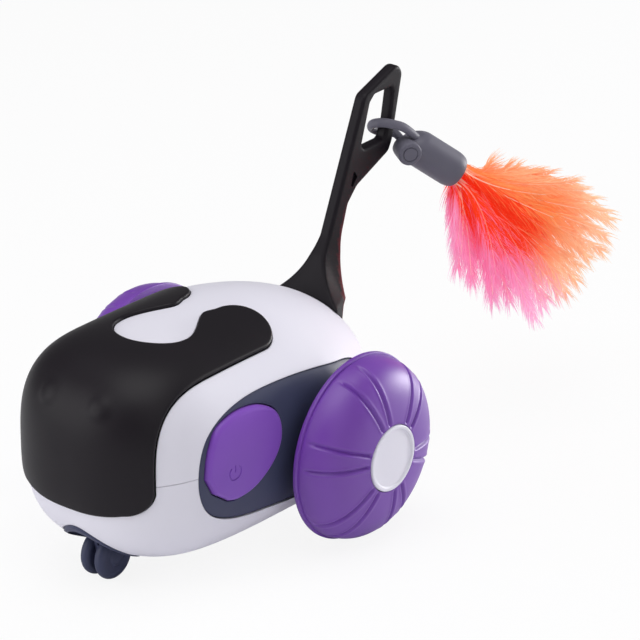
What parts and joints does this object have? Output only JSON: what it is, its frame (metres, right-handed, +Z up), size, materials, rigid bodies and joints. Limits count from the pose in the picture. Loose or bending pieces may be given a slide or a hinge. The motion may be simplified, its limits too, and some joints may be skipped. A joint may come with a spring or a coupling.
{
  "type": "remote control car cat toy",
  "caption": "Rounded toy car for cats with two big grooved side wheels, a front caster, a press key on each side and a feather teaser hung from an upright tail.",
  "frame": {"origin": "middle of the flat pad under the belly, straight below the wheel axle and 5 mm above the floor", "axes": "+Z up, -Y toward the nose, +X toward the toy's left side, along the wheel axle"},
  "size_m": [0.1518, 0.2872, 0.1655],
  "materials": {
    "white_plastic": "white satin ABS, lightly glossy",
    "black_plastic": "black smooth plastic, satin",
    "slate_plastic": "slate grey moulded plastic, matt",
    "purple_silicone": "purple silicone rubber, satin",
    "grey_silicone": "grey silicone rubber, matt",
    "grey_plastic": "grey ABS, matt",
    "steel": "nickel-plated steel",
    "nylon": "natural nylon, matt",
    "circuit_green": "green solder mask on glass epoxy",
    "battery_wrap": "blue shrink wrap",
    "orange_feather": "dyed down feathers, orange",
    "pink_feather": "dyed down feathers, pink"
  },
  "bodies": {
    "chassis": {"upper_shell": "white_plastic", "lower_shell": "white_plastic", "visor": "black_plastic", "side_panel_left": "slate_plastic", "side_panel_right": "slate_plastic", "gearbox_left": "grey_plastic", "gearbox_right": "grey_plastic", "motor_left": "steel", "motor_right": "steel", "caster_housing": "slate_plastic", "tail": "black_plastic", "battery": "battery_wrap", "circuit_board": "circuit_green", "ir_receiver": "black_plastic", "switch_board_left": "circuit_green", "switch_board_right": "circuit_green"},
    "wheel_left": {"wheel_dome_left": "purple_silicone", "wheel_core_left": "grey_plastic", "wheel_cap_left": "white_plastic", "wheel_axle_left": "steel"},
    "wheel_right": {"wheel_dome_right": "purple_silicone", "wheel_core_right": "grey_plastic", "wheel_cap_right": "white_plastic", "wheel_axle_right": "steel"},
    "idler_left": {"idler_gear_left": "nylon"},
    "idler_right": {"idler_gear_right": "nylon"},
    "pinion_left": {"motor_pinion_left": "nylon"},
    "pinion_right": {"motor_pinion_right": "nylon"},
    "caster_fork": {"caster_fork": "slate_plastic"},
    "caster_wheel": {"caster_wheel_left": "slate_plastic", "caster_wheel_right": "slate_plastic", "caster_pin": "steel"},
    "power_key": {"power_button": "purple_silicone"},
    "side_key": {"side_key_right": "purple_silicone"},
    "teaser": {"teaser": "grey_silicone", "feather_orange": "orange_feather", "feather_pink": "pink_feather"}
  },
  "joints": [
    {"name": "wheel_spin_left", "type": "hinge", "parent": "chassis", "child": "wheel_left", "pos_m": [0.0549, 0, 0.035], "axis": [1, 0, 0], "continuous": true},
    {"name": "idler_spin_left", "type": "hinge", "parent": "chassis", "child": "idler_left", "pos_m": [0.0313, -0.01428, 0.02923], "axis": [1, 0, 0], "continuous": true},
    {"name": "pinion_spin_left", "type": "hinge", "parent": "chassis", "child": "pinion_left", "pos_m": [0.0313, -0.02805, 0.02367], "axis": [1, 0, 0], "continuous": true},
    {"name": "wheel_spin_right", "type": "hinge", "parent": "chassis", "child": "wheel_right", "pos_m": [-0.0549, 0, 0.035], "axis": [1, 0, 0], "continuous": true},
    {"name": "idler_spin_right", "type": "hinge", "parent": "chassis", "child": "idler_right", "pos_m": [-0.0313, -0.01428, 0.02923], "axis": [1, 0, 0], "continuous": true},
    {"name": "pinion_spin_right", "type": "hinge", "parent": "chassis", "child": "pinion_right", "pos_m": [-0.0313, -0.02805, 0.02367], "axis": [1, 0, 0], "continuous": true},
    {"name": "caster_swivel", "type": "hinge", "parent": "chassis", "child": "caster_fork", "pos_m": [0, -0.0945, 0.027], "axis": [0, 0, 1], "continuous": true},
    {"name": "caster_roll", "type": "hinge", "parent": "caster_fork", "child": "caster_wheel", "pos_m": [0, -0.0925, 0.005], "axis": [1, 0, 0], "continuous": true},
    {"name": "power_press", "type": "slide", "parent": "chassis", "child": "power_key", "axis": [-1, 0, 0], "range_m": [0, 0.001], "stiffness_N_per_m": 400},
    {"name": "side_key_press", "type": "slide", "parent": "chassis", "child": "side_key", "axis": [1, 0, 0], "range_m": [0, 0.001], "stiffness_N_per_m": 400},
    {"name": "teaser_swing", "type": "hinge", "parent": "chassis", "child": "teaser", "pos_m": [0, 0.0918, 0.133], "axis": [0, 0.2599, 0.9656], "range_deg": [-41, 114]}
  ],
  "couplings": [
    {"joint": "idler_spin_left", "follows": "wheel_spin_left", "ratio": -2.5},
    {"joint": "pinion_spin_left", "follows": "wheel_spin_left", "ratio": 5.9375},
    {"joint": "idler_spin_right", "follows": "wheel_spin_right", "ratio": -2.5},
    {"joint": "pinion_spin_right", "follows": "wheel_spin_right", "ratio": 5.9375}
  ]
}
